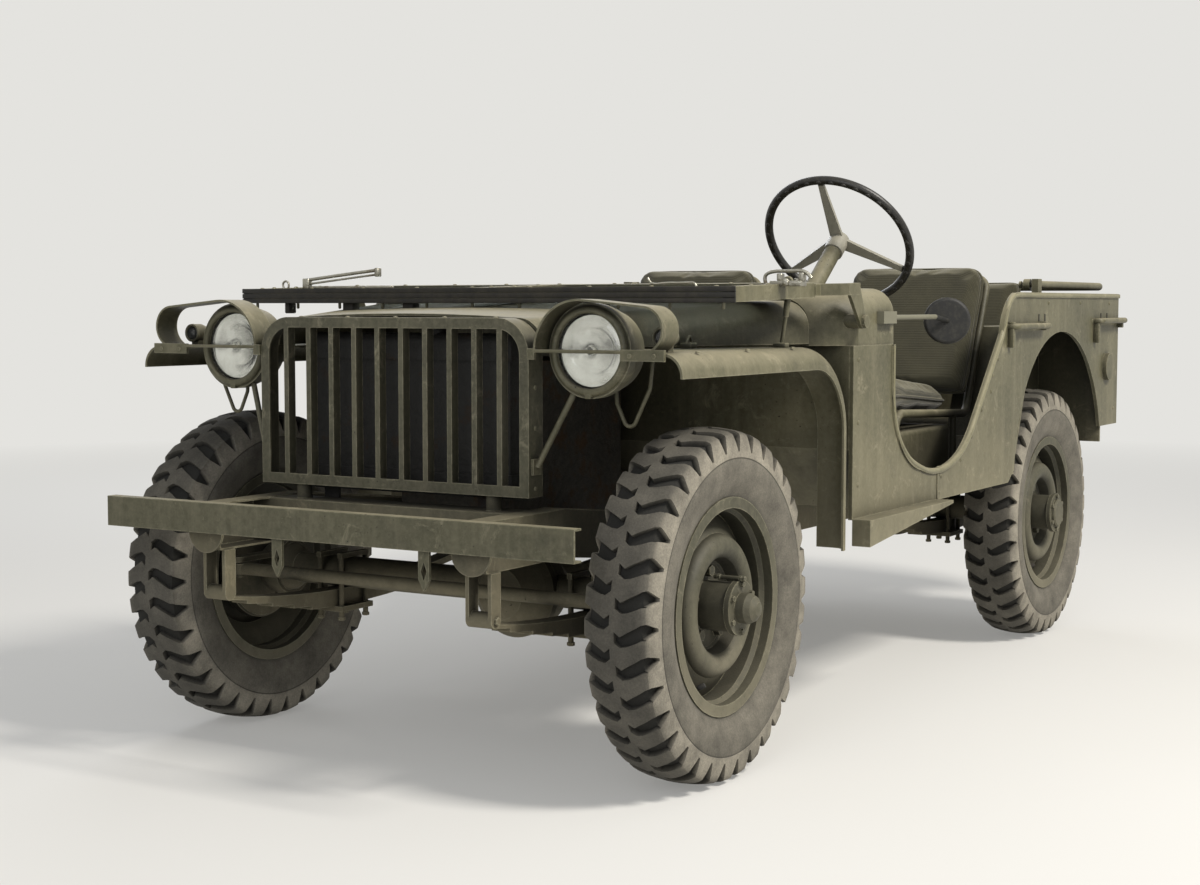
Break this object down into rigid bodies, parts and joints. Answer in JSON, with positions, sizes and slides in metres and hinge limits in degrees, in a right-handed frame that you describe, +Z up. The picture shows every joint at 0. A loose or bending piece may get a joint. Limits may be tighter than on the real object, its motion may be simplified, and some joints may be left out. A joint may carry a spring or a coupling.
{
  "type": "army 4x4 car",
  "caption": "Light open all-wheel-drive army car with a folded windshield, flat front fenders, tub body with door cut-outs, tube-framed seats and a hinged top bow.",
  "frame": {"origin": "on the ground under the middle of the vehicle's bounding box", "axes": "nose to -Y, the vehicle's left side to +X, +Z up"},
  "size_m": [1.4855, 3.1659, 1.2893],
  "materials": {
    "body_paint": "matte, dusty",
    "chassis_paint": "matte, dirty",
    "wheel_paint": "matte, dusty",
    "cast_iron": "rough",
    "bare_steel": "rusty",
    "tyre_rubber": "worn",
    "window_glass": "clear",
    "lamp_glass": "clear",
    "canvas": "worn canvas",
    "wheel_rim_black": "worn gloss"
  },
  "bodies": {
    "chassis": {"frame": "chassis_paint", "front_bumper": "body_paint", "rear_fittings": "body_paint", "grille": "body_paint", "radiator": "chassis_paint", "engine": "cast_iron", "gearbox": "cast_iron", "propshafts": "chassis_paint", "exhaust": "bare_steel", "springs": "chassis_paint", "front_axle": "chassis_paint", "rear_axle": "chassis_paint", "fuel_tank": "body_paint", "hood": "body_paint", "cowl": "body_paint", "fender_left": "body_paint", "fender_right": "body_paint", "floor": "body_paint", "side_left": "body_paint", "side_right": "body_paint", "rear_panel": "body_paint", "spare_carrier": "body_paint", "wheelhouses": "body_paint", "headlamps": "body_paint", "lamp_lenses": "lamp_glass", "lamp_guards": "body_paint", "seat_frames": "body_paint", "cushion_left": "canvas", "cushion_right": "canvas", "cushion_rear": "canvas", "backrest_left": "canvas", "backrest_right": "canvas", "backrest_rear": "canvas", "steering_column": "body_paint", "controls": "chassis_paint", "bow_brackets": "body_paint", "mirror": "body_paint"},
    "windshield": {"windshield_frame": "body_paint", "windshield_glass": "window_glass"},
    "steering_wheel": {"steering_wheel": "wheel_rim_black"},
    "knuckle_left": {"knuckle_left": "chassis_paint"},
    "knuckle_right": {"knuckle_right": "chassis_paint"},
    "tie_rod": {"tie_rod": "chassis_paint"},
    "top_bow": {"top_bow": "body_paint"},
    "wheel_front_left": {"wheel_front_left": "wheel_paint", "tyre_front_left": "tyre_rubber"},
    "wheel_front_right": {"wheel_front_right": "wheel_paint", "tyre_front_right": "tyre_rubber"},
    "wheel_rear_left": {"wheel_rear_left": "wheel_paint", "tyre_rear_left": "tyre_rubber"},
    "wheel_rear_right": {"wheel_rear_right": "wheel_paint", "tyre_rear_right": "tyre_rubber"}
  },
  "joints": [
    {"name": "windshield_fold", "type": "hinge", "parent": "chassis", "child": "windshield", "pos_m": [0, -0.56, 0.926], "axis": [-1, 0, 0], "range_deg": [0, 100]},
    {"name": "bow_raise", "type": "hinge", "parent": "chassis", "child": "top_bow", "pos_m": [0, 0.745, 1.02], "axis": [1, 0, 0], "range_deg": [0, 85]},
    {"name": "steer_left", "type": "hinge", "parent": "chassis", "child": "knuckle_left", "pos_m": [0.5, -1.105, 0.359], "axis": [0, 0, 1], "range_deg": [-26, 26]},
    {"name": "steer_right", "type": "hinge", "parent": "chassis", "child": "knuckle_right", "pos_m": [-0.5, -1.105, 0.359], "axis": [0, 0, 1], "range_deg": [-26, 26]},
    {"name": "tie_rod_swing", "type": "hinge", "parent": "knuckle_left", "child": "tie_rod", "pos_m": [0.5, -1.265, 0.372], "axis": [0, 0, 1], "range_deg": [-26, 26]},
    {"name": "steering_wheel_turn", "type": "hinge", "parent": "chassis", "child": "steering_wheel", "pos_m": [0.355, 0.08, 1.127], "axis": [0, 0.788, 0.6157], "range_deg": [-390, 390]},
    {"name": "spin_front_left", "type": "hinge", "parent": "knuckle_left", "child": "wheel_front_left", "pos_m": [0.592, -1.105, 0.359], "axis": [1, 0, 0], "continuous": true},
    {"name": "spin_front_right", "type": "hinge", "parent": "knuckle_right", "child": "wheel_front_right", "pos_m": [-0.592, -1.105, 0.359], "axis": [1, 0, 0], "continuous": true},
    {"name": "spin_rear_left", "type": "hinge", "parent": "chassis", "child": "wheel_rear_left", "pos_m": [0.592, 0.914, 0.359], "axis": [1, 0, 0], "continuous": true},
    {"name": "spin_rear_right", "type": "hinge", "parent": "chassis", "child": "wheel_rear_right", "pos_m": [-0.592, 0.914, 0.359], "axis": [1, 0, 0], "continuous": true}
  ],
  "couplings": [
    {"joint": "steer_right", "follows": "steer_left", "ratio": 1},
    {"joint": "tie_rod_swing", "follows": "steer_left", "ratio": -1},
    {"joint": "steering_wheel_turn", "follows": "steer_left", "ratio": 15}
  ]
}
